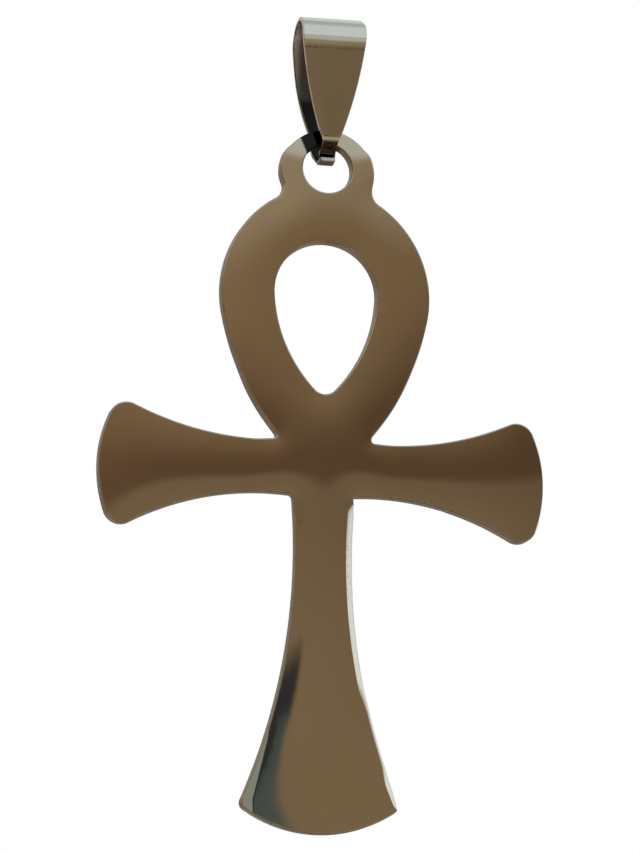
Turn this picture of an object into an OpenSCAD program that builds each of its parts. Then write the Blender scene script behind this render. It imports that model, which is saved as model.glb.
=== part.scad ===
// Ankh pendant: a flat plate with an ear on top, hanging in a bail folded from a tapered strip.
// Millimetres. +Z is up and the front faces -Y, with +X to the right seen from the front.
// The origin is the inner apex of the bail's roof, where a chain runs through along X.

/* [Ankh plate] */
// Thickness of the plate
plate_t = 1.0; // [0.8:0.05:1.3]
// Height of the ankh, foot to top of the ear
ankh_h = 45.0; // [43:0.5:47]
// Width over both arms
arm_span = 28.34; // [27:0.02:29.6]

/* [Ear] */
// Outside diameter of the ear
ear_d = 6.1; // [5.9:0.05:6.4]
// Diameter of the ear's hole
ear_hole_d = 3.2; // [3:0.05:3.3]
// Height of the hole's centre above the ear's centre
ear_hole_rise = 0.26; // [0.2:0.02:0.32]

/* [Loop] */
// Drop from the ear's centre to the centre of the loop
loop_drop = 7.98; // [7.8:0.02:8.2]
// Width of the loop
loop_w = 13.46; // [13:0.02:14]
// Radius of the loop's upper sides
loop_r = 7.18; // [7.1:0.02:7.4]
// Radius of the sides below, down to the arms
throat_r = 17.9; // [17:0.1:20]
// Angle below level where those sides start
throat_angle = 13.5; // [11:0.5:16]

/* [Teardrop opening] */
// Width of the opening
eye_w = 6.62; // [6:0.02:7]
// Height of its round part's centre above the loop's centre
eye_rise = 0.1; // [0:0.02:0.2]
// Radius of its lower sides
eye_side_r = 9.35; // [9:0.05:10.5]
// Angle below level where the lower sides start
eye_angle = 5; // [3:0.5:7]
// Radius of its tip
eye_tip_r = 0.9; // [0.6:0.05:1.2]

/* [Arms] */
// Drop from the ear's centre to the middle of the arms' waist
arm_drop = 19.12; // [18.9:0.02:19.4]
// Height of the arms at their waist
arm_waist = 3.4; // [3:0.1:4]
// Distance of the upper edges' waist from the middle line
arm_waist_x = 3.9; // [3.5:0.1:4.3]
// How much nearer to the middle line the lower edges' waist lies
arm_waist_shift = 0.4; // [0:0.1:0.8]
// Radius of the arms' upper edges
arm_top_r = 19.0; // [17.5:0.1:21]
// Radius of the arms' lower edges
arm_low_r = 17.4; // [16:0.1:19]
// Radius of the arms' ends
arm_end_r = 8.83; // [8:0.1:10]
// How far the ends' centres lie below the waist's middle
arm_sag = 0.46; // [0.2:0.02:0.6]
// Radius of the ends' upper corners
arm_top_corner_r = 1.15; // [0.8:0.05:1.3]
// Radius of the ends' lower corners
arm_low_corner_r = 1.1; // [0.8:0.05:1.3]

/* [Stem] */
// Width of the stem at its narrowest
stem_w = 3.5; // [3.2:0.02:4]
// Drop from the arms' waist to the stem's narrowest place
stem_waist_drop = 5.5; // [4.5:0.1:6.5]
// Radius of the stem's sides
stem_side_r = 38.9; // [36:0.2:44]
// Radius of the foot's lower edge
foot_r = 8.5; // [7.5:0.1:10]
// Radius of the foot's corners
foot_corner_r = 0.5; // [0.3:0.05:0.7]

/* [Bail] */
// Thickness of the strip
strip_t = 0.3; // [0.25:0.01:0.35]
// Width of the bail's roof
bail_w = 4.16; // [3.8:0.02:4.6]
// Outside depth of the roof, front to back
bail_depth = 3.3; // [3.2:0.05:3.6]
// Outside depth at the creases
bail_low_depth = 2.7; // [2.6:0.05:3]
// Drop from the roof's inner apex to the creases
bail_drop = 8.23; // [7.8:0.01:8.6]
// Drop from the roof's inner apex to where its sides curve in
shoulder_drop = 0.9; // [0.6:0.1:1.2]
// Slope of the sides there, from upright
shoulder_angle = 4.2; // [3:0.2:5]
// Radius of the bail's long side edges
bail_side_r = 22.5; // [21:0.1:26]

/* [Bail tongues] */
// Width of the strip at the creases and below
tongue_w = 1.1; // [0.9:0.05:1.2]
// How far above the creases this width starts
tongue_rise = 1.2; // [0.9:0.1:1.5]
// Depth of the front tongue's tip below the crease
front_fall = 0.65; // [0.6:0.05:0.75]
// Distance of the front tongue's tip before the middle plane
front_tip = 0.12; // [0.08:0.02:0.2]
// Depth of the back tongue's underside below the crease
back_fall = 1.13; // [1.1:0.01:1.3]
// Distance behind the middle plane where the back tongue turns level
back_heel = 0.4; // [0.3:0.02:0.5]
// Distance of the back tongue's end before the middle plane
back_tip = 0.42; // [0.3:0.02:0.5]
// Height of the ear hole's top above the creases as it hangs
rest_lift = 0.14; // [0.1:0.01:0.2]

/* [Hidden] */
$fn = 96;
steel = [0.60, 0.52, 0.42];

// Longer than anything that it has to cut or cover
reach = ankh_h;
// Overlap where a rounded corner meets its neighbours
lap = 0.002;
// Angle in degrees at which a joined curve crosses its neighbour
kink = 1.5;
// Height by which a lower outline reaches up into the one above
join = 0.15;

// Ear
ear_r = ear_d / 2;
hole_r = ear_hole_d / 2;
hole_z = -bail_drop + rest_lift - hole_r;
ear_z = hole_z - ear_hole_rise;

// Loop
loop_z = ear_z - loop_drop;
loop_x = loop_r - loop_w / 2;
throat_start = [loop_r * cos(throat_angle) - loop_x, loop_z - loop_r * sin(throat_angle)];
throat_c = throat_start - throat_r * down_from_level(throat_angle - kink);

// Teardrop opening
eye_r = eye_w / 2;
eye_z = loop_z + eye_rise;
eye_start = [0, eye_z] + eye_r * down_from_level(eye_angle);
eye_c = eye_start - eye_side_r * down_from_level(eye_angle - kink);
tip = [0, eye_c[1] - sqrt(pow(eye_side_r - eye_tip_r, 2) - pow(eye_c[0], 2))];

// Arms
arm_z = ear_z - arm_drop;
// Where an arm's outline starts beside the middle line
arm_root = 0.5;
arm_top_c = [arm_waist_x, arm_z + arm_waist / 2 + arm_top_r];
arm_low_c = [arm_waist_x - arm_waist_shift, arm_z - arm_waist / 2 - arm_low_r];
arm_end_c = [arm_span / 2 - arm_end_r, arm_z - arm_sag];
top_corner = meet(arm_end_c, arm_end_r - arm_top_corner_r, arm_top_c, arm_top_r + arm_top_corner_r, -1);
low_corner = meet(arm_end_c, arm_end_r - arm_low_corner_r, arm_low_c, arm_low_r + arm_low_corner_r, 1);

// Stem
stem_z = arm_z - stem_waist_drop;
// Height above the arms' middle up to which the stem's outline runs
stem_root = 0.8;
side_c = [stem_w / 2 + stem_side_r, stem_z];
foot_z = ear_z + ear_r - ankh_h + foot_r;
foot_corner = meet([0, foot_z], foot_r - foot_corner_r, side_c, stem_side_r + foot_corner_r, -1);

// Bail
roof_r = bail_depth / 2;
roof_z = strip_t - roof_r;
crease = bail_low_depth / 2;
shoulder = [bail_w / 2, -shoulder_drop];
bail_side_c = shoulder - bail_side_r * down_from_level(shoulder_angle);

// The direction at an angle below level, pointing right
function down_from_level(angle) = [cos(angle), -sin(angle)];
// The point at ra from a and rb from b, on the given side of the line from a to b
function meet(a, ra, b, rb, side) =
    let (d = norm(b - a), u = (b - a) / d, f = (ra * ra - rb * rb + d * d) / (2 * d))
    a + f * u + side * sqrt(ra * ra - f * f) * [-u[1], u[0]];
// The point on a circle about c towards p
function toward(c, r, p) = c + r * (p - c) / norm(p - c);
// The point p on the side s of the middle line, 1 right or -1 left
function on(s, p) = [s * p[0], p[1]];
// The point a little way along the line from a to b
function along(a, b) = a + 0.05 * (b - a) / norm(b - a);
// A strip's inner face, strip_t from the outer line through the points, on its side s
function inner(p, s) =
    let (n = len(p), d = [for (i = [0 : n - 2]) (p[i + 1] - p[i]) / norm(p[i + 1] - p[i])],
        m = [for (v = d) s * [-v[1], v[0]]])
    [for (i = [0 : n - 1]) i == 0 ? p[0] + strip_t * [s, 0] : i == n - 1 ? p[i] + strip_t * m[i - 1]
        : p[i] + strip_t * (m[i - 1] + m[i]) / (1 + m[i - 1] * m[i])];

module disc(c, r) translate(c) circle(r);

// Everything below a height
module below(z) translate([-reach / 2, z - reach]) square(reach);

// What a corner's rounding takes off a shape about c, outside the chord from p to q
module beyond(c, p, q) {
    w = toward([0, 0], reach, (p + q) / 2 - c);
    polygon([p, q, q + w, p + w]);
}

module loop_outline() {
    intersection_for (s = [1, -1]) disc([s * -loop_x, loop_z], loop_r);
    intersection() {
        disc(throat_c, throat_r);
        disc(on(-1, throat_c), throat_r);
        below(throat_start[1] + join);
    }
}

module eye_outline() {
    left = on(-1, eye_c);
    disc([0, eye_z], eye_r);
    difference() {
        intersection() {
            disc(eye_c, eye_side_r);
            disc(left, eye_side_r);
            below(eye_start[1] + join);
        }
        beyond(tip, toward(left, eye_side_r, tip), toward(eye_c, eye_side_r, tip));
    }
    disc(tip, eye_tip_r + lap);
}

module arm_outline(s) {
    e = on(s, arm_end_c);
    t = on(s, arm_top_c);
    b = on(s, arm_low_c);
    tc = on(s, top_corner);
    bc = on(s, low_corner);
    difference() {
        intersection() {
            disc(e, arm_end_r);
            translate([s * (arm_root + reach / 2), arm_z]) square(reach, center = true);
        }
        disc(t, arm_top_r);
        disc(b, arm_low_r);
        beyond(tc, toward(e, arm_end_r, tc), toward(t, arm_top_r, tc));
        beyond(bc, toward(e, arm_end_r, bc), toward(b, arm_low_r, bc));
    }
    disc(tc, arm_top_corner_r + lap);
    disc(bc, arm_low_corner_r + lap);
}

module stem_outline() {
    f = [0, foot_z];
    difference() {
        union() {
            disc(f, foot_r);
            translate([-foot_r, foot_z]) square([2 * foot_r, arm_z + stem_root - foot_z]);
        }
        for (s = [1, -1]) disc(on(s, side_c), stem_side_r);
        for (s = [1, -1]) beyond(on(s, foot_corner), toward(f, foot_r, on(s, foot_corner)),
            toward(on(s, side_c), stem_side_r, on(s, foot_corner)));
    }
    for (s = [1, -1]) disc(on(s, foot_corner), foot_corner_r + lap);
}

module ankh_outline() {
    difference() {
        union() {
            disc([0, ear_z], ear_r);
            loop_outline();
            for (s = [1, -1]) arm_outline(s);
            stem_outline();
        }
        disc([0, hole_z], hole_r);
        eye_outline();
    }
}

// The plate with its ear, cut in one piece
module ankh() {
    color(steel)
        translate([0, plate_t / 2, 0]) rotate([90, 0, 0]) linear_extrude(plate_t) ankh_outline();
}

// The strip seen from the side, with depth along the first axis and height along the second
module bail_side() {
    front = [[-roof_r, roof_z], [-crease, -bail_drop], [-front_tip, -bail_drop - front_fall]];
    back = [[roof_r, roof_z], [crease, -bail_drop], [back_heel, -bail_drop - back_fall],
        [-back_tip, -bail_drop - back_fall]];
    front_in = inner(front, 1);
    back_in = inner(back, -1);
    difference() {
        union() {
            disc([0, roof_z], roof_r);
            polygon([along(front[0], front[1]), front[1], front[2], front_in[2], front_in[1],
                [-strip_t, roof_z]]);
            polygon([[strip_t, roof_z], back_in[1], back_in[2], back_in[3], back[3], back[2], back[1],
                along(back[0], back[1])]);
        }
        disc([0, roof_z], roof_r - strip_t);
        polygon([along(front_in[0], front_in[1]), front_in[1], back_in[1], along(back_in[0], back_in[1])]);
    }
}

// The strip seen from the front
module bail_front() {
    intersection() {
        disc(bail_side_c, bail_side_r);
        disc(on(-1, bail_side_c), bail_side_r);
        square([bail_w, reach], center = true);
    }
    translate([-tongue_w / 2, -reach]) square([tongue_w, reach - bail_drop + tongue_rise]);
}

// The bail, folded from one tapered strip
module bail() {
    color(steel)
        intersection() {
            translate([-reach / 2, 0, 0]) rotate([90, 0, 90]) linear_extrude(reach) bail_side();
            translate([0, reach / 2, 0]) rotate([90, 0, 0]) linear_extrude(reach) bail_front();
        }
}

bail();
ankh();
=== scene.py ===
"""An ankh pendant of mirror-polished steel with a warm brown cast, hanging in its folded bail.

Lengths are in millimetres until a mesh or light is made.
The axes are the frame's: +Z is up and the front faces -Y.
"""

import math

import bpy
import numpy as np
from mathutils import Matrix, Vector
from mathutils.geometry import delaunay_2d_cdt


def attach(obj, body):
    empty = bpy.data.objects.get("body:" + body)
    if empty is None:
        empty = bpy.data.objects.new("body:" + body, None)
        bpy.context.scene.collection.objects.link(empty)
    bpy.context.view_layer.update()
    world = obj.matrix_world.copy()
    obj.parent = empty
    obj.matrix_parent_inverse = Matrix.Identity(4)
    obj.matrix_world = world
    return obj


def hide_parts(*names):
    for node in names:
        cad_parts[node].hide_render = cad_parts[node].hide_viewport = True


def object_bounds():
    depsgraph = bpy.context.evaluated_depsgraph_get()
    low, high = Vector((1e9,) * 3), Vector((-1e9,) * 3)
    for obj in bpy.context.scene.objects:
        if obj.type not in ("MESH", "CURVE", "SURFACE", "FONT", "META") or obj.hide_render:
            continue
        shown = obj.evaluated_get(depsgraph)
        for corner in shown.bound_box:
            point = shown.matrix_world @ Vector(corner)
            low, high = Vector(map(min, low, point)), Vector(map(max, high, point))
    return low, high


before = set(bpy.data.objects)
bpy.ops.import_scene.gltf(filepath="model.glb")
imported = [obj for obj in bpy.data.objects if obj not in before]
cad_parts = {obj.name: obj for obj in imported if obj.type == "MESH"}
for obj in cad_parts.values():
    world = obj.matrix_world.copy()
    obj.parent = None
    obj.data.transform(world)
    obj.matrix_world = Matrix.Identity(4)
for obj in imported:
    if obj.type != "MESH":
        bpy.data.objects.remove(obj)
cad_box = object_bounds()

MM = 0.001

# Below, a pair that is used as a ramp has no effect at its first value and the full effect at its second.

# Plate: faces and edges
PLATE_T = 1.0
CROWN = 0.0065  # curvature of the faces, per millimetre
CROWN_GRID = 0.1
CROWN_ROUNDS = 700
CROWN_OVER = 1.94  # by what each round overshoots, to settle sooner
EDGE_R = 0.08  # rounding where the faces meet the blanked wall
EDGE_STEPS = 6
WALL_STEPS = 4
CROTCH_R = 0.25  # fillets in the inner corners of the outline
NECK_R = 0.8  # the same where the ear grows out of the loop
NECK_FOOT = -13.5  # a corner above this height is the neck's
CORNER_TURN = 35.0  # degrees; an outline that turns more than this at one point has a corner there
OUTLINE_STEP = 0.11  # between the points of a smooth outline, at most,
OUTLINE_BEND = 5.0  # and the degrees it may turn there
SHORTEST_CAD_STEP = 0.04
SHORTEST_STEP = 0.012
FACE_STEP = 0.42  # between the points inside a face
CLEAR_OF_EDGE = 0.45 * FACE_STEP
CLEAR_OF_CREASE = 0.6 * FACE_STEP
CREASE_CLEAR_OF_EDGE = 0.1
CREASE_STEP = 0.2
CREASE_ROWS = (-0.16, -0.08, 0.0, 0.08, 0.16, 0.3)  # on both sides of the worn facet's edge
PLATE_FACE, PLATE_WALL, PLATE_BEVEL = range(3)  # material slots

# Plate: where its outline departs from the plain one
EAR_Z = -9.95
EAR_FLAT = 0.27  # how far the ear's top lies below a full circle
EAR_SHOULDERS = (1.1, 2.1)  # ramp, above EAR_Z
EAR_DRAWN_IN = 0.12
EAR_DRAWN_AT = -1.05  # above EAR_Z
EAR_DRAWN_OVER = 0.6
EAR_LEFT = (-3.6, -1.5)  # across
ARM_REACH = 0.07  # what the arms' ends gain
ARM_ENDS = (9.0, 13.0)  # ramp, from the middle
RIGHT_ARM_SHARE = 0.6
ARM_TOP_DROP = (0.12, 0.07)  # how far the arms' upper edges are let down, left and right
ARM_ROOTS = (3.0, 4.6)  # ramp, from the middle
ARM_TOP_FROM = (-22.5, -24.3)  # ramps, by height
ARM_TOP_TO = (-29.0, -26.5)
STEM_RIGHT = (1.0, 8.0)  # across, where the stem's right side lies

# Plate: the facet that buffing wore on the foot's left corner
WORN_EDGE = ((-3.10, -44.44), (-4.27, -49.93), (-4.20, -50.90))  # its inner edge
WORN_SLOPE = 0.036
WORN_SOFT = 0.06  # how gently it begins
WORN_UNDER = -40.0  # it lies wholly below this height
WORN_IN = (-44.3, -46.6)  # ramp, by height

# Plate: the ground bevel on the stem's right side
BEVEL_INSET = 0.30  # from the outline inwards
BEVEL_OUT = (  # and outwards, by height
    (-49.9, 0.0),
    (-49.0, 0.10),
    (-46.0, 0.115),
    (-36.5, 0.18),
    (-31.9, 0.18),
    (-31.05, 0.0),
)
BEVEL_DEPTH = 0.42
BEVEL_TOP = -31.22
BEVEL_FOOT = -50.45
BEVEL_FADE = 0.5
BEVEL_FACING = (0.80, 0.93)  # ramp, by how squarely the edge faces right
BEVEL_SHOWS = 0.3  # the share of it that takes its own material
BEVEL_WEAR = 0.62  # how much of it is worn away lower down
BEVEL_WEAR_FROM = (-42.6, -44.4)  # ramps, by height
BEVEL_WEAR_TO = (-48.8, -47.2)
BEVEL_ROUND = 0.25  # how round it is across where it isn't worn round
BEVEL_ROUND_FROM = (-42.0, -43.4)  # ramps, by height
BEVEL_ROUND_TO = (-48.8, -47.6)
BEVEL_ROUND_POWER = 1.8  # how late they turn where it is round
BEVEL_FLAT_RISE = 2.2  # how soon its normals take the lean of the flat

# Bail: the strip, and the line of its outer face from the side as (y, z)
STRIP_T = 0.3
STRIP_W = 4.16
STRIP_EDGE_R = 0.06
STRIP_CROWN = 0.012
TONGUE_W = 1.02
HEEL_W = 1.6
HEEL_BEHIND = 0.2  # the heel's tongue lies behind this y
HEEL_RISE = (-9.33, -8.5)  # ramp, by height
SIDE_R = 29.27  # arcs of the strip's sides
SIDE_CENTRE_X = 27.044
SIDE_CENTRE_Z = 1.694
FRONT_TIP = (-0.12, -8.88)
FRONT_CREASE = (-1.311, -8.05)
FRONT_BOW = (-1.498, -4.9)
FRONT_KNEES = ((-1.7095, -2.12), (-1.7182, -1.92), (-1.7249, -1.57))
FRONT_TOP = (-1.7314, 0.3)
BACK_TOP = (1.42, 0.3)
BACK_BELLY = (2.2, -4.9)
BACK_CREASE = (1.28, -8.23)
HEEL = (0.4, -9.33)
BACK_TIP = (-0.42, -9.20)
FRONT_CREASE_R = 0.58
BOW_R = 340.0
KNEE_RADII = (0.8, 9.0, 22.0)
ROOF_FRONT_R = 1.57
ROOF_BACK_R = 1.65
BELLY_R = 9.0
CREASE_R = 0.33
BAIL_LEAN = 0.014  # how far the bail hangs askew, to the right
BAIL_LEAN_FOOT = -9.0
ROOF_LEAN = 0.018  # rise of the roof to the right
ROOF_LEAN_IN = (-4.0, -0.5)  # ramp, by height
ROOF_TAPER = 0.22  # how much the right side of the strip draws in over the roof
ROOF_TAPER_IN = (-0.5, 0.28)  # ramp, by height
LINE_STEP = 0.3
LINE_BEND = 6.0  # degrees
SMALLEST_R = 0.0005
STEEPEST_FACE = 0.3  # radians; where an end leans more it takes the edge's material
ACROSS_STEPS = 10
CORNER_STEPS = 5
SIDE_STEPS = 3
END_STEPS = 3
STRIP_FACE, STRIP_EDGE, STRIP_INSIDE = range(3)  # material slots

# Metal colours
STEEL = (0.58, 0.46, 0.31)
BAIL_STEEL = (0.56, 0.475, 0.325)
# paler than the outer steel: painted light on the upper inside of the bail
BAIL_INSIDE_LIT = (0.76, 0.68, 0.58)
BAIL_FOOT_SHADE = 0.24  # share of the colour left on the inside and on the edges near the foot of the bail, as painted shade
BAIL_EDGE_LIGHT = (0.50, 0.39, 0.29)
BAIL_EDGE_DARK = (0.36, 0.28, 0.21)
PATCH_WARM = (1.12, 0.94, 0.86)  # filters over the bail's inside
PATCH_COOL = (0.84, 0.98, 1.0)
WALL_LIGHT = (0.30, 0.214, 0.132)
WALL_DARK = (0.20, 0.141, 0.087)
BEVEL_LIGHT = (0.90, 0.74, 0.50)
BEVEL_DARK = (0.70, 0.575, 0.39)
BEVEL_SPECK = (0.26, 0.20, 0.13)
BEVEL_SPECKS_FROM = (-38.5, -36.0)  # ramps, by height
BEVEL_SPECKS_TO = (-32.6, -34.2)
# Painted shade: near-black on the ear's face and wall just left of the bail, standing for the bail's dark
# reflection there
PAINTED_BAIL_SHADE = (0.02, 0.017, 0.014)
PAINTED_SHADE_EDGE = ((-1.81, -7.83), (-1.34, -8.89))  # its left edge, as (x, z)
PAINTED_SHADE_LEFT = (-0.06, 0.10)  # ramps: to the right of that edge,
PAINTED_SHADE_RIGHT = (0.35, 0.15)  # across,
PAINTED_SHADE_FOOT = (-9.6, -9.3)  # by height,
PAINTED_SHADE_FRONT = (0.0, -0.2)  # and towards the front

# Studio colours
WHITE = (1.0, 1.0, 1.0)
ROOM_WALL_LOW = (0.158, 0.109, 0.075)
ROOM_WALL_MIDDLE = (0.295, 0.232, 0.16)
ROOM_WALL_TOP = (0.41, 0.375, 0.31)
TABLE_NEAR = (0.290, 0.243, 0.179)
TABLE_FAR = (0.243, 0.198, 0.148)
BELOW_AHEAD = (0.60, 0.45, 0.35)
BELOW_ASIDE = (0.58, 0.52, 0.47)
FURTHER_BELOW = (0.66, 0.63, 0.60)
STRAIGHT_BELOW = (0.09, 0.085, 0.08)
BLOCK_GREY = (0.353, 0.46, 0.53)
BLOCK_BLACK = (0.036, 0.042, 0.060)
BLOCK_TEAL_LEFT = (0.064, 0.100, 0.125)
BLOCK_TEAL_RIGHT = (0.098, 0.148, 0.180)
REAR_WALL = (0.46, 0.44, 0.40)
BAND_DIM = (0.50, 0.46, 0.43)
BAND_BRIGHT = (2.0, 2.15, 2.3)
TALL_LIGHT = (0.86, 1.05, 1.36)
CEILING_EDGE = (0.66, 0.78, 0.92)
CEILING = (0.90, 1.13, 1.5)
CEILING_OVERHEAD = (0.54, 0.68, 0.92)
CEILING_REAR = (0.80, 0.80, 0.78)
ON_DULL_THINGS = (1.04, 1.035, 1.08)
FLOOR_DARK = (0.96, 0.90, 0.82)
FLOOR_LIGHT = (0.98, 0.92, 0.84)

# Camera, fitted to the photograph, and floor
AIM = Vector((-0.33, -0.60, -26.50))
CAMERA_TURN = -12.6  # degrees round the pendant, towards -X
CAMERA_RISE = -11.9
CAMERA_ROLL = 0.7
CAMERA_FAR = 220.0
FOCAL_PIXELS = 3520.0
LONG_SIDE_PIXELS = 853
SENSOR = 36.0
FLOOR_DROP = 68.0  # floor below the foot
FLOOR_R = 3.0  # metres
FLOOR_SIDES = 64


def unit(v):
    """The vectors at length one."""
    return v / np.linalg.norm(v, axis=-1, keepdims=True)


def smoothstep(low, high, v):
    """0 where v is at low and 1 at high, whichever of them is the larger."""
    t = np.clip((v - low) / (high - low), 0, 1)
    return t * t * (3 - 2 * t)


def turn_between(a, b):
    """Signed angle in degrees from direction a to b, positive to the left."""
    return math.degrees(math.atan2(a[0] * b[1] - a[1] * b[0], a @ b))


def hermite(a, b, ta, tb, steps):
    """Points from a up to, not including, b on a cubic that leaves along ta and arrives along tb."""
    u = (np.arange(steps) / steps)[:, None]
    reach = np.linalg.norm(b - a)
    return (
        (2 * u**3 - 3 * u**2 + 1) * a
        + (u**3 - 2 * u**2 + u) * reach * ta
        + (3 * u**2 - 2 * u**3) * b
        + (u**3 - u**2) * reach * tb
    )


def closed_loops(onward, points, fewest=8):
    """The outlines that come back to their start, followed from each point to the next."""
    loops = []
    while onward:
        start = at = next(iter(onward))
        loop = []
        while at in onward:
            loop.append(at)
            at = onward.pop(at)
        if at == start and len(loop) > fewest:
            loops.append(points[loop])
    return loops


def outline_of(node):
    """The closed outlines of a plate's front face, as arrays of (x, z) with the metal on their left."""
    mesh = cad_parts[node].data
    spots = np.array([v.co for v in mesh.vertices]) / MM
    front = spots[:, 1].min()
    index = {}
    ids = [
        index.setdefault((round(x, 3), round(z, 3)), len(index)) if abs(y - front) < 0.001 else -1
        for x, y, z in spots
    ]
    sides = set()
    for face in mesh.polygons:
        corners = [ids[v] for v in face.vertices]
        if min(corners) >= 0:
            sides.update(zip(corners, corners[1:] + corners[:1]))
    onward = {a: b for a, b in sides if (b, a) not in sides and a != b}
    return sorted(closed_loops(onward, np.array(list(index))), key=lambda p: -np.ptp(p[:, 1]))


def chord_tangents(p):
    """At each point of a closed outline, the direction of the circle through it and its neighbours."""
    ahead = np.roll(p, -1, 0) - p
    behind = np.roll(ahead, 1, 0)
    return unit(ahead / (ahead**2).sum(1, keepdims=True) + behind / (behind**2).sum(1, keepdims=True))


def outward(p):
    """The outline's normals, away from the metal."""
    t = chord_tangents(p)
    return np.stack([t[:, 1], -t[:, 0]], 1)


def without_short_steps(p, shortest):
    """The closed outline without the points that lie closer than that to the one before."""
    keep = [0]
    for i in range(1, len(p)):
        if np.linalg.norm(p[i] - p[keep[-1]]) > shortest:
            keep.append(i)
    if np.linalg.norm(p[keep[-1]] - p[0]) <= shortest:
        keep.pop()
    return p[keep]


def mirrored_in(chord, tangent):
    """The other end's direction, for an arc over that chord."""
    c = unit(chord)
    return 2 * c * (c @ tangent) - tangent


def runs_between(corner):
    """The point numbers of each stretch from corner to corner, or once round if there is no corner."""
    n = len(corner)
    if not any(corner):
        return [list(range(n)) + [0]]
    first = corner.index(True)
    order = [(first + i) % n for i in range(n + 1)]
    cuts = [i for i, at in enumerate(order) if corner[at]]
    return [order[a : b + 1] for a, b in zip(cuts, cuts[1:])]


def smooth_run(p, run, corner):
    """One stretch of the outline as a dense smooth line."""
    middle = chord_tangents(p)
    line = []
    for i, j in zip(run, run[1:]):
        chord = p[j] - p[i]
        leave = mirrored_in(chord, middle[j]) if corner[i] else middle[i]
        arrive = mirrored_in(chord, middle[i]) if corner[j] else middle[j]
        bends = math.ceil(abs(turn_between(leave, arrive)) / OUTLINE_BEND)
        steps = max(1, math.ceil(np.linalg.norm(chord) / OUTLINE_STEP), bends)
        line.append(hermite(p[i], p[j], leave, arrive, steps))
    return np.vstack(line + [p[run[-1]][None]])


def cut_back(line, length):
    """The line without its first stretch of that length."""
    gone = np.concatenate([[0], np.cumsum(np.linalg.norm(np.diff(line, axis=0), axis=1))])
    k = int(np.searchsorted(gone, length))
    share = (length - gone[k - 1]) / (gone[k] - gone[k - 1])
    return np.vstack([line[k - 1] + share * (line[k] - line[k - 1]), line[k:]])


def fillet(before, after, radius, turn, count=14):
    """The points of a rounded corner between two runs that end where it begins and ends."""
    a, b = before[-1], after[0]
    ta, tb = unit(before[-1] - before[-2]), unit(after[1] - after[0])
    handle = radius * 4 / 3 * math.tan(math.radians(abs(turn)) / 4)
    u = np.linspace(0, 1, count)[1:-1, None]
    return (
        (1 - u) ** 3 * a
        + 3 * (1 - u) ** 2 * u * (a + handle * ta)
        + 3 * (1 - u) * u**2 * (b - handle * tb)
        + u**3 * b
    )


def joined_with_fillets(runs):
    """The runs as one closed line. Where the metal's corner is an inner one, a fillet replaces it."""
    turns = [turn_between(a[-1] - a[-2], b[1] - b[0]) for a, b in zip(runs, runs[1:] + runs[:1])]
    radii = [NECK_R if run[-1][1] > NECK_FOOT else CROTCH_R for run in runs]
    back = [r * math.tan(math.radians(abs(t)) / 2) if t < 0 else 0.0 for r, t in zip(radii, turns)]
    trimmed = []
    for i, run in enumerate(runs):
        if back[i - 1]:
            run = cut_back(run, back[i - 1])
        if back[i]:
            run = cut_back(run[::-1], back[i])[::-1]
        trimmed.append(run)
    whole = []
    for i, run in enumerate(trimmed):
        following = trimmed[(i + 1) % len(trimmed)]
        if back[i]:
            whole += [run, fillet(run, following, radii[i], turns[i])]
        else:
            whole.append(run[:-1])
    return without_short_steps(np.vstack(whole), SHORTEST_STEP)


def smooth_outline(p):
    """The outline with its arcs smooth again and its inner corners filleted."""
    p = without_short_steps(p, SHORTEST_CAD_STEP)
    chord = np.roll(p, -1, 0) - p
    corner = [abs(turn_between(chord[i - 1], chord[i])) > CORNER_TURN for i in range(len(p))]
    dense = [smooth_run(p, run, corner) for run in runs_between(corner)]
    return joined_with_fillets(dense) if any(corner) else dense[0][:-1]


def ear_shaped(p):
    """The outer outline with the ear's shoulders let down a little and its lower left drawn in."""
    high = p[:, 1] - EAR_Z
    left = (p[:, 0] > EAR_LEFT[0]) & (p[:, 0] < EAR_LEFT[1])
    drawn_in = EAR_DRAWN_IN * np.exp(-(((high - EAR_DRAWN_AT) / EAR_DRAWN_OVER) ** 2)) * left
    return p + np.stack([drawn_in, -EAR_FLAT * smoothstep(*EAR_SHOULDERS, high)], 1)


def on_stem_right(p):
    """True for the points across which the stem's right side lies."""
    return (p[:, 0] > STEM_RIGHT[0]) & (p[:, 0] < STEM_RIGHT[1])


def bevel_out(z):
    """How far the bevel adds to the stem's width at a height."""
    return np.interp(z, *zip(*BEVEL_OUT))


def arms_and_stem_shaped(p):
    """The outer outline with the arms longer and their tops let down, and the stem as wide as its bevel."""
    x, z = p[:, 0], p[:, 1]
    reach = ARM_REACH * np.sign(x) * smoothstep(*ARM_ENDS, np.abs(x))
    out = bevel_out(z) * on_stem_right(p) + reach * np.where(x < 0, 1.0, RIGHT_ARM_SHARE)
    arm_top = smoothstep(*ARM_ROOTS, np.abs(x)) * smoothstep(*ARM_TOP_FROM, z) * smoothstep(*ARM_TOP_TO, z)
    return p + np.stack([out, -arm_top * np.where(x < 0, *ARM_TOP_DROP)], 1)


def plate_outlines():
    """The ankh's outer outline and its holes."""
    outer, *holes = [smooth_outline(p) for p in outline_of("ankh")]
    return [arms_and_stem_shaped(ear_shaped(outer)), *holes]


def inside(loops, x, z):
    """True where (x, z) lies in the metal, by counting the outline's crossings to the right."""
    hits = np.zeros(np.shape(x), int)
    for p in loops:
        for (x0, z0), (x1, z1) in zip(p, np.roll(p, -1, 0)):
            if z0 != z1:
                spans = (z0 > z) != (z1 > z)
                hits += spans & (x < x0 + (z - z0) * (x1 - x0) / (z1 - z0))
    return hits % 2 == 1


def inside_row(loops, xs, z):
    """Which of xs lie in the metal at one height."""
    cross = []
    for p in loops:
        q = np.roll(p, -1, 0)
        spans = (p[:, 1] > z) != (q[:, 1] > z)
        a, b = p[spans], q[spans]
        cross.append(a[:, 0] + (z - a[:, 1]) * (b[:, 0] - a[:, 0]) / (b[:, 1] - a[:, 1]))
    return np.searchsorted(np.sort(np.concatenate(cross)), xs) % 2 == 1


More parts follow.
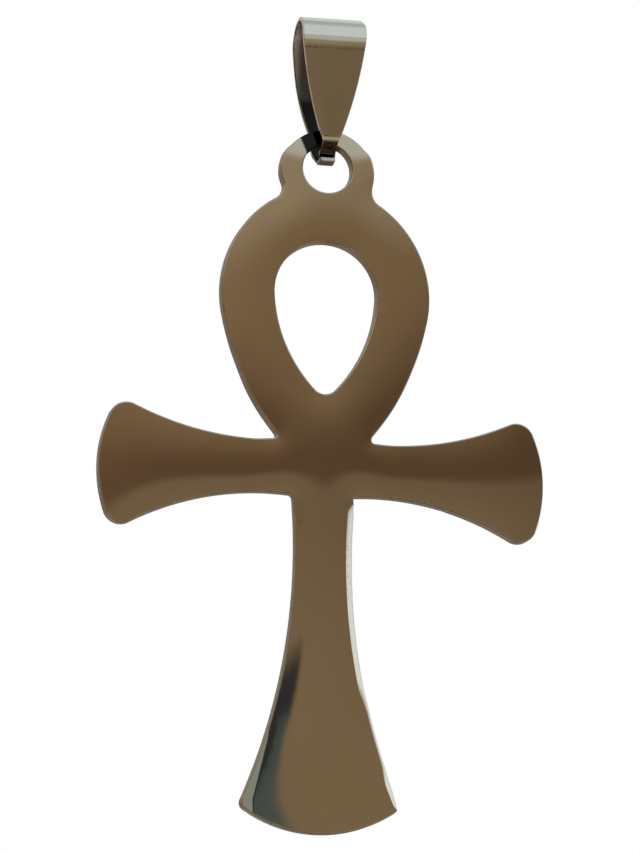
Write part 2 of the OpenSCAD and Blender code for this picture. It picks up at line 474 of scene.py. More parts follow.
def worn_corner(x, z):
    """The shallow facet that buffing left on the foot's left corner, as a fall of the face."""
    fall = 0.0
    for a, b in zip(WORN_EDGE, WORN_EDGE[1:]):
        along = unit(np.subtract(b, a))
        beyond = (x - a[0]) * along[1] - (z - a[1]) * along[0]
        fall = np.maximum(fall, WORN_SLOPE * WORN_SOFT * np.logaddexp(0, beyond / WORN_SOFT))
    return np.where((z < WORN_UNDER) & (x < 0), fall * smoothstep(*WORN_IN, z), 0.0)


def grown(field, known, rounds=6):
    """The field carried outwards from where it is known, by averaging neighbours."""
    field = np.where(known, field, 0.0)
    for _ in range(rounds):
        total = np.zeros(field.shape)
        count = np.zeros(field.shape)
        for axis in (0, 1):
            for step in (1, -1):
                total += np.roll(field * known, step, axis)
                count += np.roll(known, step, axis)
        fresh = ~known & (count > 0)
        field[fresh] = total[fresh] / count[fresh]
        known = known | fresh
    return field


def softened(field, rounds=3):
    """The field blurred a little."""
    for _ in range(rounds):
        for axis in (0, 1):
            field = (np.roll(field, 1, axis) + 2 * field + np.roll(field, -1, axis)) / 4
    return field


def pillow(metal):
    """A height over the metal that bends evenly and is nothing at the edges, on the crown's grid."""
    u = np.zeros(metal.shape)
    chess = np.indices(u.shape).sum(0) % 2
    halves = [metal & (chess == colour) for colour in (0, 1)]
    around = np.zeros(u.shape)
    for _ in range(CROWN_ROUNDS):
        for half in halves:
            beside = u[2:, 1:-1] + u[:-2, 1:-1] + u[1:-1, 2:] + u[1:-1, :-2]
            around[1:-1, 1:-1] = (beside + CROWN_GRID * CROWN_GRID) / 4
            u[half] += CROWN_OVER * (around[half] - u[half])
    return u


class Crown:
    """The gentle crown of a buffed plate: full in the middle, fallen away to the edges."""

    def __init__(self, loops):
        margin = 3 * CROWN_GRID
        self.low = loops[0].min(0) - margin
        high = loops[0].max(0) + margin
        xs, zs = (np.arange(self.low[i], high[i], CROWN_GRID) for i in (0, 1))
        metal = np.array([inside_row(loops[:2], xs, z) for z in zs])
        rise = pillow(metal)
        self.fall = CROWN * (rise.max() - rise)
        deep = metal
        for _ in range(2):
            deep = deep & np.all([np.roll(deep, step, axis) for axis in (0, 1) for step in (1, -1)], axis=0)
        slopes = np.gradient(self.fall, CROWN_GRID)
        self.slope_z, self.slope_x = (softened(grown(slope, deep)) for slope in slopes)

    def _at(self, field, p):
        g = (p - self.low) / CROWN_GRID
        i = np.floor(g).astype(int)
        fx, fz = (g - i).T
        c, r = i.T
        upper = field[r, c] * (1 - fx) + field[r, c + 1] * fx
        lower = field[r + 1, c] * (1 - fx) + field[r + 1, c + 1] * fx
        return upper * (1 - fz) + lower * fz

    def drop(self, p):
        """How far the face lies below its highest place."""
        return self._at(self.fall, p) + worn_corner(p[:, 0], p[:, 1])

    def normals(self, p, face, step=0.01):
        """The normals of the front face, -1, or of the back face, 1."""
        x, z = p[:, 0], p[:, 1]
        worn_x = (worn_corner(x + step, z) - worn_corner(x - step, z)) / (2 * step)
        worn_z = (worn_corner(x, z + step) - worn_corner(x, z - step)) / (2 * step)
        slope_x = self._at(self.slope_x, p) + worn_x
        slope_z = self._at(self.slope_z, p) + worn_z
        return unit(np.stack([slope_x, np.full(len(p), face), slope_z], 1))


def bevel_share(p, out):
    """How far the ground bevel replaces the plain rounding, at points of the outline."""
    z = p[:, 1]
    foot = smoothstep(BEVEL_FOOT, BEVEL_FOOT + BEVEL_FADE, z)
    top = smoothstep(BEVEL_TOP, BEVEL_TOP - BEVEL_FADE, z)
    left = 1 - BEVEL_WEAR * smoothstep(*BEVEL_WEAR_FROM, z) * smoothstep(*BEVEL_WEAR_TO, z)
    return foot * top * left * smoothstep(*BEVEL_FACING, out[:, 0]) * on_stem_right(p)


def bevel_lean(k, z):
    """How far the bevel's normals lean out in row k: as on a flat, but worn round over one stretch."""
    flat = math.pi / 2
    if k < EDGE_STEPS:
        tilt = math.atan2(BEVEL_DEPTH, BEVEL_INSET)
        flat = tilt * min(1, BEVEL_FLAT_RISE * math.sin(math.pi * k / EDGE_STEPS))
    rest = 1 - BEVEL_ROUND
    share = BEVEL_ROUND + rest * smoothstep(*BEVEL_ROUND_FROM, z) * smoothstep(*BEVEL_ROUND_TO, z)
    return (1 - share) * flat + share * math.pi / 2 * (k / EDGE_STEPS) ** BEVEL_ROUND_POWER


def edge_rows(p, face, half, crown):
    """Rows of (points, normals) from a face over its rounded or bevelled edge to the wall."""
    out = outward(p)
    side = np.stack([out[:, 0], np.zeros(len(p)), out[:, 1]], 1)
    share = bevel_share(p, out) if face < 0 else np.zeros(len(p))
    wide = BEVEL_INSET + bevel_out(p[:, 1])
    rows = []
    for k in range(EDGE_STEPS + 1):
        phi = math.pi / 2 * k / EDGE_STEPS
        tau = smoothstep(0, 1, k / EDGE_STEPS)
        inset = (1 - share) * EDGE_R * (1 - math.sin(phi)) + share * wide * (1 - tau)
        fall = (1 - share) * EDGE_R * (1 - math.cos(phi)) + share * BEVEL_DEPTH * tau
        at = p - out * inset[:, None]
        y = face * (half - crown.drop(at) - fall)
        lean = (1 - share) * phi + share * bevel_lean(k, p[:, 1])
        normal = unit(crown.normals(at, face) * np.cos(lean)[:, None] + side * np.sin(lean)[:, None])
        rows.append((np.stack([at[:, 0], y, at[:, 1]], 1), normal))
    return rows


def rim_rows(p, half, crown):
    """Rows of (points, normals) along one outline, from the front face over the wall to the back face."""
    front, back = (edge_rows(p, face, half, crown) for face in (-1, 1))
    top, out = front[-1]
    bottom = back[-1][0]
    wall = [(top + (bottom - top) * (k / WALL_STEPS), out) for k in range(1, WALL_STEPS)]
    return front + wall + back[::-1]


def rim_faces(p, rows, base):
    """The quads between the rows of one outline, and their slots."""
    n = len(p)
    bevelled = bevel_share(p, outward(p)) > BEVEL_SHOWS
    faces, slots = [], []
    for r in range(rows - 1):
        a = base + r * n
        plain = PLATE_WALL if 1 <= r < rows - 2 else PLATE_FACE
        for i in range(n):
            j = (i + 1) % n
            faces.append((a + i, a + n + i, a + n + j, a + j))
            slots.append(PLATE_BEVEL if r < EDGE_STEPS and bevelled[i] else plain)
    return faces, slots


def crease_points():
    """Rows of points that follow the edge of the worn facet."""
    spots = []
    edge = np.array(WORN_EDGE)
    for a, b in zip(edge, edge[1:]):
        d = unit(b - a)
        right = np.array([d[1], -d[0]])
        count = round(np.linalg.norm(b - a) / CREASE_STEP)
        spots += [a + (b - a) * k / count + off * right for k in range(count) for off in CREASE_ROWS]
    return np.array(spots)


def clear_of(spots, others, distance):
    """The spots that lie further than that from all the others."""
    return spots[np.array([np.min(((others - s) ** 2).sum(1)) > distance**2 for s in spots])]


def face_points(rings):
    """Points for the inside of a face: a grid of triangles, closer along the worn facet's edge."""
    edge = np.vstack(rings)
    crease = crease_points()
    (left, foot), (right, top) = rings[0].min(0), rings[0].max(0)
    grid = []
    for k, z in enumerate(np.arange(foot, top, FACE_STEP * math.sqrt(3) / 2)):
        grid += [(x, z) for x in np.arange(left + (k % 2) * FACE_STEP / 2, right, FACE_STEP)]
    grid = clear_of(np.array(grid), edge, CLEAR_OF_EDGE)
    grid = clear_of(grid, crease, CLEAR_OF_CREASE)
    spots = np.vstack([grid, clear_of(crease, edge, CREASE_CLEAR_OF_EDGE)])
    return spots[inside(rings, spots[:, 0], spots[:, 1])]


def fill(rings, starts, total):
    """A face within its rings: the new inner points, the triangles and each one's point number."""
    inner = face_points(rings)
    ids, links = [], []
    for ring, start in zip(rings, starts):
        base = len(ids)
        n = len(ring)
        ids += range(start, start + n)
        links += [(base + i, base + (i + 1) % n) for i in range(n)]
    ids += range(total, total + len(inner))
    spots = np.vstack([*rings, inner])
    made = delaunay_2d_cdt([Vector(s) for s in spots.tolist()], links, [], 0, 1e-7)
    source = [origin[0] for origin in made[3]]
    triangles = np.array([[source[v] for v in face] for face in made[2]])
    middle = spots[triangles].mean(1)
    kept = triangles[inside(rings, middle[:, 0], middle[:, 1])]
    return inner, kept.tolist(), ids


def plate_mesh(loops, half):
    """A plate with crowned faces, broken edges and true normals, as (points, faces, normals, slots)."""
    crown = Crown(loops)
    points, normals, faces, slots = [], [], [], []
    starts = []
    total = 0
    for p in loops:
        rows = rim_rows(p, half, crown)
        points += [place for place, _ in rows]
        normals += [normal for _, normal in rows]
        quads, kinds = rim_faces(p, len(rows), total)
        faces += quads
        slots += kinds
        starts.append((total, total + (len(rows) - 1) * len(p)))
        total += len(rows) * len(p)
    for face, first in zip((-1, 1), zip(*starts)):
        placed = np.vstack(points)
        rings = [placed[s : s + len(p)][:, [0, 2]] for s, p in zip(first, loops)]
        inner, triangles, ids = fill(rings, first, total)
        points.append(np.stack([inner[:, 0], face * (half - crown.drop(inner)), inner[:, 1]], 1))
        normals.append(crown.normals(inner, face))
        faces += [tuple(ids[v] for v in (f if face < 0 else f[::-1])) for f in triangles]
        slots += [PLATE_FACE] * len(triangles)
        total += len(inner)
    return np.vstack(points), faces, np.vstack(normals), slots


def filleted(points, radii):
    """A line through the points with each corner turned on its radius, as places and directions."""
    line = [(points[0], unit(points[1] - points[0]))]
    for a, b, c, r in zip(points, points[1:], points[2:], radii):
        d0, d1 = unit(b - a), unit(c - b)
        turn = math.radians(turn_between(d0, d1))
        start = b - d0 * (r * math.tan(abs(turn) / 2))
        bend = r * math.copysign(1, turn)
        centre = start + bend * np.array([-d0[1], d0[0]])
        steps = max(1, math.ceil(abs(math.degrees(turn)) / LINE_BEND))
        for k in range(steps + 1):
            cos, sin = math.cos(turn * k / steps), math.sin(turn * k / steps)
            d = np.array([d0[0] * cos - d0[1] * sin, d0[0] * sin + d0[1] * cos])
            line.append((centre + bend * np.array([d[1], -d[0]]), d))
    line.append((points[-1], unit(points[-1] - points[-2])))
    return line


def bail_line():
    """The strip's outer face from the side, as (y, z) places and directions, front tip to back tip."""
    front = (FRONT_TIP, FRONT_CREASE, FRONT_BOW, *FRONT_KNEES, FRONT_TOP)
    back = (BACK_TOP, BACK_BELLY, BACK_CREASE, HEEL, BACK_TIP)
    radii = (FRONT_CREASE_R, BOW_R, *KNEE_RADII, ROOF_FRONT_R, ROOF_BACK_R, BELLY_R, CREASE_R, CREASE_R)
    corners = filleted([np.array(p) for p in front + back], radii)
    line = [corners[0]]
    for (a, da), (b, db) in zip(corners, corners[1:]):
        gap = np.linalg.norm(b - a)
        if gap < 1e-6:
            continue
        steps = max(1, round(gap / LINE_STEP))
        places = hermite(a, b, da, db, steps)[1:]
        turned = [unit(da + (db - da) * k / steps) for k in range(1, steps)]
        line += list(zip(places, turned)) + [(b, db)]
    return line


def strip_half_width(y, z):
    """Half the strip's width at a place: two long arcs down to the tongues' own widths."""
    arc = math.sqrt(SIDE_R**2 - (z - SIDE_CENTRE_Z) ** 2) - SIDE_CENTRE_X
    tongue = TONGUE_W
    if y >= HEEL_BEHIND:
        tongue += (HEEL_W - TONGUE_W) * smoothstep(*HEEL_RISE, z)
    return min(STRIP_W / 2, max(tongue / 2, arc))


def round_corner(centre, r, first, last, slots):
    """Points of the section's corner, from one direction of its normals to another."""
    points = []
    for k, slot in enumerate(slots, 1):
        w = math.pi / 2 * k / CORNER_STEPS
        a, b = (f * math.cos(w) + s * math.sin(w) for f, s in zip(first, last))
        points.append((centre[0] + r * a, centre[1] + r * b, a, b, slot))
    return points


def strip_section(half, inset):
    """The strip's section: (across, depth below the outer face, normal across, normal depth, slot)."""
    r = max(STRIP_EDGE_R - inset, SMALLEST_R)
    side, top, foot = half - inset, inset, STRIP_T - inset
    upper, lower = top + STRIP_CROWN + r, foot - r
    edge = [STRIP_EDGE] * (CORNER_STEPS - 1)
    soft_edge = [STRIP_FACE] + edge[1:]
    ring = []
    for k in range(ACROSS_STEPS + 1):
        u = (side - r) * (2 * k / ACROSS_STEPS - 1)
        depth = top + STRIP_CROWN * (u / half) ** 2
        ring.append((u, depth, 2 * STRIP_CROWN * u / half**2, -1.0, STRIP_FACE))
    ring += round_corner((side - r, upper), r, (0, -1), (1, 0), soft_edge)
    for k in range(SIDE_STEPS + 1):
        ring.append((side, upper + (lower - upper) * k / SIDE_STEPS, 1.0, 0.0, STRIP_EDGE))
    ring += round_corner((side - r, lower), r, (1, 0), (0, 1), edge)
    for k in range(ACROSS_STEPS + 1):
        ring.append(((side - r) * (1 - 2 * k / ACROSS_STEPS), foot, 0.0, 1.0, STRIP_INSIDE))
    ring += round_corner((-side + r, lower), r, (-1, 0), (0, 1), soft_edge)
    for k in range(SIDE_STEPS + 1):
        ring.append((-side, lower + (upper - lower) * k / SIDE_STEPS, -1.0, 0.0, STRIP_EDGE))
    ring += round_corner((-side + r, upper), r, (-1, 0), (0, -1), edge)
    return ring


def rounded_end(place, d, inwards):
    """The rows round one end of the strip, outermost last: place, direction, inset, lean and side."""
    rows = []
    for k in range(END_STEPS + 1):
        w = math.pi / 2 * k / END_STEPS
        back = STRIP_EDGE_R * (1 - math.sin(w))
        rows.append((place + d * back * inwards, d, STRIP_EDGE_R * (1 - math.cos(w)), w, inwards))
    return rows


def askew(u, y, z, half):
    """The strip's point moved by the bail's lean, the roof's rise and the roof's taper."""
    lean = BAIL_LEAN * max(0.0, z - BAIL_LEAN_FOOT)
    taper = ROOF_TAPER * smoothstep(*ROOF_TAPER_IN, z) * max(0.0, u / half)
    return u + (lean - taper), y, z + ROOF_LEAN * u * smoothstep(*ROOF_LEAN_IN, z)


def strip_row(place, d, inset, lean, inwards, step=0.01):
    """One row of the strip round its section, as points, normals and slots."""
    half = strip_half_width(*place)
    out = np.array([0.0, -d[1], d[0]])
    along = np.array([0.0, d[0], d[1]])
    y, z = place
    fan = (strip_half_width(y, z + step) - strip_half_width(y, z - step)) / (2 * step) * d[1]
    points, normals, kinds = [], [], []
    for u, depth, a, b, kind in strip_section(half, inset):
        points.append(askew(u, *(place - depth * out[1:]), half))
        normal = np.array([a, 0, 0]) - out * b - along * abs(a) * fan
        if inwards:
            normal = unit(normal) * math.cos(lean) + along * math.sin(lean) * -inwards
        normals.append(unit(normal))
        kinds.append(kind)
    return points, normals, kinds


def bail_mesh():
    """The strip swept along its folded line, with rounded edges and ends."""
    line = bail_line()
    body = [(place, d, 0.0, 0.0, 0) for place, d in line[1:-1]]
    rows = rounded_end(*line[0], 1)[::-1] + body + rounded_end(*line[-1], -1)
    points, normals, slots, faces = [], [], [], []
    for k, row in enumerate(rows):
        places, directions, kinds = strip_row(*row)
        points += places
        normals += directions
        count = len(places)
        if k == 0:
            continue
        a, b = (k - 1) * count, k * count
        on_end = row[4] and row[3] > STEEPEST_FACE
        for i in range(count):
            j = (i + 1) % count
            faces.append((a + i, a + j, b + j, b + i))
            on_edge = on_end or STRIP_EDGE in (kinds[i], kinds[j])
            slots.append(STRIP_EDGE if on_edge else min(kinds[i], kinds[j]))
    for base, d, outwards in ((0, line[0][1], -1), (len(points) - count, line[-1][1], 1)):
        points.append(tuple(np.mean(points[base : base + count], axis=0)))
        normals.append(np.array([0.0, d[0], d[1]]) * outwards)
        for i in range(count):
            sides = (base + i, base + (i + 1) % count)[::outwards]
            faces.append((len(points) - 1, *sides))
            slots.append(STRIP_EDGE)
    return np.array(points), faces, np.array(normals), slots


def make_piece(name, parts, materials):
    """A mesh object in metres from (points, faces, normals, slots)."""
    points, faces, normals, slots = parts
    mesh = bpy.data.meshes.new(name)
    mesh.from_pydata((points * MM).tolist(), [], faces)
    for material in materials:
        mesh.materials.append(material)
    mesh.polygons.foreach_set("material_index", slots)
    mesh.polygons.foreach_set("use_smooth", [True] * len(faces))
    mesh.update()
    mesh.normals_split_custom_set_from_vertices(normals.tolist())
    piece = bpy.data.objects.new(name, mesh)
    bpy.context.scene.collection.objects.link(piece)
    return piece


class Graph:
    """Short calls for building one tree of shader nodes."""

    def __init__(self, tree):
        self.tree = tree
        tree.nodes.clear()

    def put(self, socket, value):
        if isinstance(value, bpy.types.NodeSocket):
            self.tree.links.new(value, socket)
        elif value is not None:
            socket.default_value = value

    def add(self, kind, inputs=(), **settings):
        node = self.tree.nodes.new("ShaderNode" + kind)
        for name, value in settings.items():
            setattr(node, name, value)
        for name, value in dict(inputs).items():
            self.put(node.inputs[name], value)
        return node

    def math(self, operation, *values):
        node = self.add("Math", operation=operation)
        for socket, value in zip(node.inputs, values):
            self.put(socket, value)
        return node.outputs[0]

    def minus(self, a, b):
        return self.math("SUBTRACT", a, b)

    def times(self, a, b):
        return self.math("MULTIPLY", a, b)

    def scaled(self, value, factor, plus):
        return self.math("MULTIPLY_ADD", value, factor, plus)

    def rise(self, value, low, high):
        """0 where value is below low and 1 above high, or the reverse if low is the larger."""
        node = self.add("MapRange", interpolation_type="SMOOTHSTEP")
        for name, v in zip(("Value", "From Min", "From Max"), (value, low, high)):
            self.put(node.inputs[name], v)
        return node.outputs["Result"]

    def between(self, value, first, last):
        """1 between two ramps and 0 outside them."""
        return self.times(self.rise(value, *first), self.rise(value, *last))

    def mix(self, share, a, b, blend_type="MIX"):
        node = self.add("Mix", data_type="RGBA", blend_type=blend_type, clamp_factor=True)
        self.put(node.inputs[0], share)
        for socket, value in ((node.inputs[6], a), (node.inputs[7], b)):
            self.put(socket, (*value, 1) if isinstance(value, tuple) else value)
        return node.outputs[2]

    def filtered(self, colour, by):
        return self.mix(1.0, colour, by, "MULTIPLY")

    def grey(self, value):
        return self.add("CombineXYZ", {axis: value for axis in "XYZ"}).outputs[0]

    def in_mm(self, where, axes):
        """The place's coordinates along those axes, in millimetres."""
        place = self.add("SeparateXYZ", {"Vector": where}).outputs
        return [self.math("DIVIDE", place[axis], MM) for axis in axes]

    def noise(self, where, scale, detail=2.0, stretch=(1, 1, 1), offset=(0, 0, 0)):
        """Noise over the object, with scale in features per millimetre along each axis."""
        spread = tuple(scale * s / MM for s in stretch)
        place = self.add("Mapping", {"Vector": where, "Scale": spread, "Location": offset}).outputs[0]
        return self.add("TexNoise", {"Vector": place, "Scale": 1.0, "Detail": detail}).outputs["Fac"]

    def bump(self, height, distance, strength=1.0, over=None):
        """Normals of that relief, over other normals where they are given."""
        inputs = {"Strength": strength, "Distance": distance * MM, "Height": height, "Normal": over}
        return self.add("Bump", inputs).outputs[0]

    def finish(self, **inputs):
        """The shader of a whole surface."""
        named = {name.replace("_", " "): value for name, value in inputs.items()}
        self.add("OutputMaterial", {"Surface": self.add("BsdfPrincipled", named).outputs[0]})


def new_material(name):
    """A new material, its graph and the place on the object."""
    material = bpy.data.materials.new(name)
    material.use_nodes = True
    g = Graph(material.node_tree)
    return material, g, g.add("TexCoord").outputs["Object"]


def toned(colour, factors):
    """The colour with each channel times its factor."""
    return tuple(c * f for c, f in zip(colour, factors))


def painted_bail_shade(g, where):
    """How far the ear's face is darkened beside the bail: painted shade standing for the bail's dark
    reflection.
    """
    (x0, z0), (x1, z1) = PAINTED_SHADE_EDGE
    along = unit(np.array([x1 - x0, z1 - z0]))
    x, y, z = g.in_mm(where, "XYZ")
    right = g.times(g.minus(x, x0), -along[1])
    right = g.math("ADD", right, g.times(g.minus(z, z0), along[0]))
    share = g.times(g.rise(right, *PAINTED_SHADE_LEFT), g.rise(x, *PAINTED_SHADE_RIGHT))
    share = g.times(share, g.rise(z, *PAINTED_SHADE_FOOT))
    return g.times(share, g.rise(y, *PAINTED_SHADE_FRONT))


def painted_low_shade(g, where, colour, top, bottom, left, reach=9.0, ragged=0.8):
    """The colour with painted shade: down to that share of it from one height to another, as far to the
    right as reach.
    """
    x, z = g.in_mm(where, "XZ")
    level = g.scaled(g.noise(where, 1.2), ragged, g.minus(z, ragged / 2))
    low = g.times(g.rise(level, top, bottom), g.rise(x, reach + 0.1, reach - 0.1))
    return g.filtered(colour, g.grey(g.scaled(low, left - 1.0, 1.0)))


def mottled_and_lit_left(g, where, colour):
    """The dull inside of the bail in warm and cool patches, with painted light: lighter to the left and
    darker to the right.
    """
    patches = g.rise(g.noise(where, 0.75, 1.0, (1.0, 1.0, 0.8), (2, 8, 4)), 0.40, 0.60)
    colour = g.filtered(colour, g.mix(patches, PATCH_WARM, PATCH_COOL))
    (x,) = g.in_mm(where, "X")
    # painted light: from half the colour on the right to 1.75 times it on the left
    return g.filtered(colour, g.grey(g.scaled(g.rise(x, -1.25, -1.9), 1.25, 0.5)))


def polished(name, colour, roughness=0.035, wave=0.0004, bail_shade_painted=False, dull_and_lit_left=False, low_shade=None):
    """Buffed steel: faint slow waves, fine buffing lines in the gloss and a little clouding."""
    material, g, where = new_material(name)
    cloud = g.noise(where, 0.25, 3.0)
    fine = g.noise(where, 2.2, 4.0, (1.0, 1.0, 0.22))
    hair = g.noise(where, 9.0, 3.0, (1.0, 0.3, 0.05), (3, 1, 7))
    tint = g.mix(cloud, toned(colour, (0.96, 0.96, 0.96)), toned(colour, (1.04, 1.04, 1.04)))
    tint = g.mix(g.times(fine, 0.25), tint, toned(colour, (0.95, 0.99, 1.06)))
    # painted shade on the ear beside the bail, standing for the bail's dark reflection
    if bail_shade_painted:
        tint = g.mix(painted_bail_shade(g, where), tint, PAINTED_BAIL_SHADE)
    # painted light on the bail's inside: lighter to the left, darker to the right
    if dull_and_lit_left:
        tint = mottled_and_lit_left(g, where, tint)
    # painted shade: darker below a height, where the bail's lower parts lie in shadow
    if low_shade:
        tint = painted_low_shade(g, where, tint, **low_shade)
    gloss = g.scaled(hair, 0.02, g.scaled(cloud, 0.02, roughness - 0.015))
    slow = g.noise(where, 0.3, 1.0, offset=(9, 2, 5))
    relief = g.bump(hair, 0.00004, over=g.bump(slow, wave))
    g.finish(Base_Color=tint, Metallic=1.0, Roughness=gloss, Normal=relief)
    return material


def blanked(name, light, dark, roughness=0.45, bail_shade_painted=False, low_shade=None):
    """A sheared wall: fine marks that run through the thickness, darker where the metal tore."""
    material, g, where = new_material(name)
    marks = g.noise(where, 5.0, 4.0, (1, 0.05, 1))
    patch = g.noise(where, 0.7)
    share = g.scaled(marks, 0.7, g.times(patch, 0.3))
    colour = g.mix(g.rise(share, 0.3, 0.7), dark, light)
    # painted shade on the ear's wall beside the bail, standing for the bail's dark reflection
    if bail_shade_painted:
        colour = g.mix(painted_bail_shade(g, where), colour, PAINTED_BAIL_SHADE)
    # painted shade: darker below a height, where the bail's lower parts lie in shadow
    if low_shade:
        colour = painted_low_shade(g, where, colour, **low_shade)
    gloss = g.scaled(marks, 0.2, roughness - 0.1)
    g.finish(Base_Color=colour, Metallic=1.0, Roughness=gloss, Normal=g.bump(marks, 0.006, 0.6))
    return material


def ground(name):
    """The ground bevel: bright, with short marks along it and darker specks in its upper half."""
    material, g, where = new_material(name)
    lines = g.noise(where, 6.0, 4.0, (1.0, 1.0, 0.12))
    (height,) = g.in_mm(where, "Z")
    worn = g.between(height, BEVEL_SPECKS_FROM, BEVEL_SPECKS_TO)
    pit = g.times(worn, g.rise(g.noise(where, 3.0, 3.0), 0.52, 0.64))
    colour = g.mix(g.times(pit, 0.35), g.mix(lines, BEVEL_DARK, BEVEL_LIGHT), BEVEL_SPECK)
    gloss = g.scaled(lines, 0.12, 0.24)
    g.finish(Base_Color=colour, Metallic=1.0, Roughness=gloss, Normal=g.bump(lines, 0.004, 0.5))
    return material


def wall_and_table(g, height, turn):
    """The warm wall and what lies below it, parted by an edge that slopes and dips a little."""
    aside = g.minus(g.math("MINIMUM", g.math("MAXIMUM", turn, 6.0), 20.0), 12.0)
    level = g.scaled(aside, -0.12, height)
    off_dip = g.times(g.minus(turn, 12.9), 1.4)
    bell = g.math("POWER", 2.718, g.times(g.times(off_dip, off_dip), -1.0))
    edge = g.math("ADD", level, g.times(bell, 0.2))
    wall = g.mix(g.rise(level, 11.2, 14.2), ROOM_WALL_LOW, ROOM_WALL_MIDDLE)
    wall = g.mix(g.rise(level, 14.2, 16.3), wall, ROOM_WALL_TOP)
    table = g.mix(g.rise(level, 8.0, 10.4), TABLE_NEAR, TABLE_FAR)
    ahead = g.between(turn, (4.0, 8.0), (26.0, 20.0))
    below = g.mix(ahead, BELOW_ASIDE, BELOW_AHEAD)
    table = g.mix(g.rise(height, 0.0, -8.0), table, below)
    table = g.mix(g.rise(height, -20.0, -32.0), table, FURTHER_BELOW)
    table = g.mix(g.rise(height, -48.0, -74.0), table, STRAIGHT_BELOW)
    room = g.mix(g.rise(edge, 10.27, 10.75), table, wall)
    dimmer = g.grey(g.scaled(aside, -0.03, 1.0))
    return g.filtered(room, g.mix(g.rise(level, 6.0, 9.0), WHITE, dimmer))


def with_block(g, room, height, turn):
    """The room with the dark block in it that the foot's left side reflects, and its grey flank."""
    under = g.math("MAXIMUM", g.minus(7.0, height), 0.0)
    over = g.math("MAXIMUM", g.minus(height, 7.4), 0.0)
    right_side = g.scaled(under, 0.34, g.scaled(over, 0.58, 10.62))
    left_of_top = g.math("MINIMUM", g.minus(g.math("MAXIMUM", turn, 9.5), 11.4), 0.0)
    slant = g.scaled(left_of_top, -0.2, height)
    upright = g.times(g.rise(slant, 8.85, 8.4), g.rise(height, -8.0, -3.0))
    grey = g.between(turn, (3.5, 4.5), (10.5, 9.5))
    room = g.mix(g.times(grey, upright), room, BLOCK_GREY)
    block = g.times(g.rise(g.minus(turn, right_side), 0.14, -0.12), g.rise(turn, 8.9, 9.4))
    black = g.math("MAXIMUM", g.rise(height, 7.45, 7.9), g.rise(turn, 10.15, 9.9))
    teal = g.mix(g.rise(turn, 9.6, 11.0), BLOCK_TEAL_LEFT, BLOCK_TEAL_RIGHT)
    return g.mix(g.times(block, upright), room, g.mix(black, teal, BLOCK_BLACK))


def with_rear_wall(g, room, height, turn):
    """The room with a greyer wall on the left and behind."""
    behind = g.math("MAXIMUM", g.rise(turn, -50.0, -100.0), g.rise(turn, 150.0, 175.0))
    behind = g.times(behind, g.between(height, (-45.0, -15.0), (60.0, 30.0)))
    return g.mix(g.times(behind, 0.8), room, REAR_WALL)


def with_bands(g, room, way, height, turn):
    """The room with slow dim and bright bands all round, save where the photograph's view is reflected."""
    broad = g.add("TexNoise", {"Vector": way, "Scale": 2.3, "Detail": 0.5}).outputs["Fac"]
    across = g.math("SINE", g.math("RADIANS", g.scaled(height, 46.0, g.times(turn, 17.0))))
    upright = g.math("SINE", g.math("RADIANS", g.scaled(height, -15.0, g.times(turn, 38.0))))
    bands = g.scaled(across, 0.20, g.scaled(upright, 0.12, broad))
    shade = g.mix(g.rise(bands, 0.28, 0.72), BAND_DIM, BAND_BRIGHT)
    plain = g.between(turn, (3.0, 6.5), (24.0, 19.0))
    plain = g.times(plain, g.between(height, (-60.0, -50.0), (24.0, 19.0)))
    return g.filtered(room, g.mix(plain, shade, WHITE))


def with_lights(g, room, height, turn):
    """The room with a tall light on the right and a pale ceiling, warmer at the rear."""
    tall = g.between(turn, (60.0, 95.0), (165.0, 140.0))
    tall = g.times(tall, g.between(height, (-10.0, 2.0), (60.0, 40.0)))
    room = g.mix(tall, room, TALL_LIGHT)
    room = g.mix(g.rise(height, 16.62, 17.07), room, CEILING_EDGE)
    room = g.mix(g.rise(height, 18.0, 19.8), room, CEILING)
    room = g.mix(g.rise(height, 60.0, 84.0), room, CEILING_OVERHEAD)
    rear = g.times(g.rise(g.math("ABSOLUTE", turn), 110.0, 140.0), g.rise(height, 60.0, 35.0))
    return g.mix(g.times(rear, g.rise(height, 10.0, 20.0)), room, CEILING_REAR)


def studio():
    """Soft studio light by direction, in degrees of height and of turn from straight ahead."""
    world = bpy.data.worlds.new("soft_studio")
    bpy.context.scene.world = world
    world.use_nodes = True
    g = Graph(world.node_tree)
    way = g.add("TexCoord").outputs["Generated"]
    axis = g.add("SeparateXYZ", {"Vector": way}).outputs
    height = g.math("DEGREES", g.math("ARCSINE", axis["Z"]))
    turn = g.math("DEGREES", g.math("ARCTAN2", axis["X"], g.times(axis["Y"], -1.0)))
    room = wall_and_table(g, height, turn)
    room = with_block(g, room, height, turn)
    room = with_rear_wall(g, room, height, turn)
    room = with_bands(g, room, way, height, turn)
    room = with_lights(g, room, height, turn)
    path = g.add("LightPath").outputs
    seen = g.mix(path["Is Diffuse Ray"], room, ON_DULL_THINGS)
    seen = g.mix(path["Is Camera Ray"], seen, WHITE)
    background = g.add("Background", {"Color": seen, "Strength": 1.0})
    g.add("OutputWorld", {"Surface": background.outputs[0]})


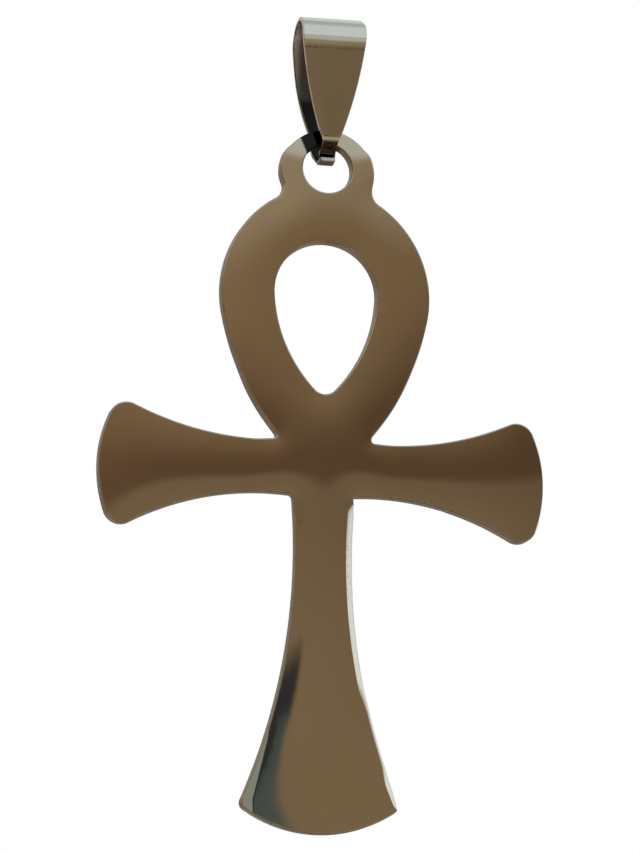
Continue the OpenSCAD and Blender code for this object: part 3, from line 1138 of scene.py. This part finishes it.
def floor():
    """A plain pale floor well below the pendant."""
    foot = (cad_box[0][2] / MM - FLOOR_DROP) * MM
    mesh = bpy.data.meshes.new("floor")
    turns = np.linspace(0, 2 * math.pi, FLOOR_SIDES + 1)[:-1]
    rim = [(FLOOR_R * math.cos(w), FLOOR_R * math.sin(w), foot) for w in turns]
    mesh.from_pydata(rim, [], [list(range(FLOOR_SIDES))])
    material, g, where = new_material("pale_floor")
    g.finish(Base_Color=g.mix(g.noise(where, 0.02, 3.0), FLOOR_DARK, FLOOR_LIGHT), Roughness=0.8)
    mesh.materials.append(material)
    plane = bpy.data.objects.new("floor", mesh)
    bpy.context.scene.collection.objects.link(plane)
    plane.visible_glossy = False


def camera():
    """The photograph's viewpoint: a little to the left of the pendant and below it, looking up."""
    turn, up, roll = (math.radians(v) for v in (CAMERA_TURN, CAMERA_RISE, CAMERA_ROLL))
    back = Vector((math.sin(turn) * math.cos(up), -math.cos(turn) * math.cos(up), math.sin(up)))
    level = Vector((math.cos(turn), math.sin(turn), 0))
    high = back.cross(level)
    right = math.cos(roll) * level + math.sin(roll) * high
    top = -math.sin(roll) * level + math.cos(roll) * high
    data = bpy.data.cameras.new("camera")
    data.sensor_width = SENSOR
    data.lens = FOCAL_PIXELS / LONG_SIDE_PIXELS * SENSOR
    data.clip_start = 0.001
    view = bpy.data.objects.new("camera", data)
    turned = Matrix((right, top, back)).transposed().to_4x4()
    view.matrix_world = Matrix.Translation((AIM + CAMERA_FAR * back) * MM) @ turned
    bpy.context.scene.collection.objects.link(view)
    bpy.context.scene.camera = view


camera()
floor()
studio()
bpy.context.scene.view_settings.view_transform = "Standard"

# A piece's materials are listed in the order of its slots
plate = make_piece(
    "ankh_plate",
    plate_mesh(plate_outlines(), PLATE_T / 2),
    [
        # The plate's face and wall carry painted shade beside the bail
        polished("plate_polish", STEEL, 0.024, bail_shade_painted=True),
        blanked("plate_wall", WALL_LIGHT, WALL_DARK, bail_shade_painted=True),
        ground("plate_bevel"),
    ],
)
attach(plate, "ankh")
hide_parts("ankh")

# Painted shade on the bail: its front face below the crease, its left edges near the foot and its lower
# inside are darkened
face_low_shade = {"top": -7.95, "bottom": -8.09, "left": 0.30, "ragged": 0.1}
edge_low_shade = {"top": -8.2, "bottom": -8.9, "left": BAIL_FOOT_SHADE, "reach": -0.4}
inside_low_shade = {"top": -4.15, "bottom": -5.05, "left": BAIL_FOOT_SHADE}
bail = make_piece(
    "bail_strip",
    bail_mesh(),
    [
        polished("bail_polish", BAIL_STEEL, low_shade=face_low_shade),
        blanked("bail_edge", BAIL_EDGE_LIGHT, BAIL_EDGE_DARK, 0.25, low_shade=edge_low_shade),
        polished("bail_inside", BAIL_INSIDE_LIT, 0.32, 0.0002, dull_and_lit_left=True, low_shade=inside_low_shade),
    ],
)
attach(bail, "bail")
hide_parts("bail")
